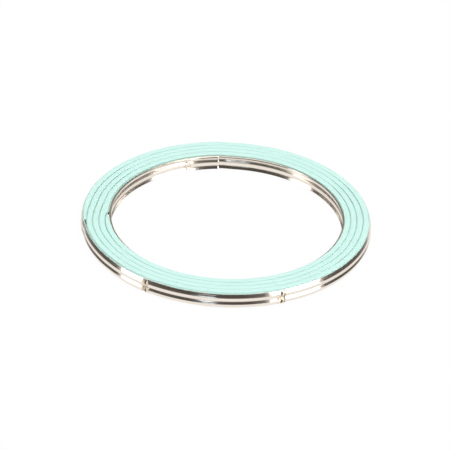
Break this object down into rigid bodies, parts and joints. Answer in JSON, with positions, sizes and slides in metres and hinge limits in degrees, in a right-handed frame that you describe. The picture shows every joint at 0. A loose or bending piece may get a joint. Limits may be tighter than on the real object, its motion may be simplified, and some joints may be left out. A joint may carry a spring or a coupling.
{
  "type": "spiral wound exhaust gasket",
  "caption": "Flat ring gasket for an exhaust pipe flange: a thin W-section metal strip and a coated filler strip wound together into a spiral.",
  "frame": {"origin": "on the bore's axis, in the plane of the filler's lower rim", "axes": "+Z along the bore's axis, out of the upper sealing face; +X and +Y lie in the plane of the ring, and the strip's inner end is near +Y"},
  "size_m": [0.0758, 0.0758, 0.0043],
  "materials": {
    "bright_steel": "bright rolled stainless strip",
    "green_coating": "matte mint green coating on mineral filler"
  },
  "bodies": {
    "root": {"winding_strip": "bright_steel", "filler_strip": "green_coating"}
  },
  "joints": []
}
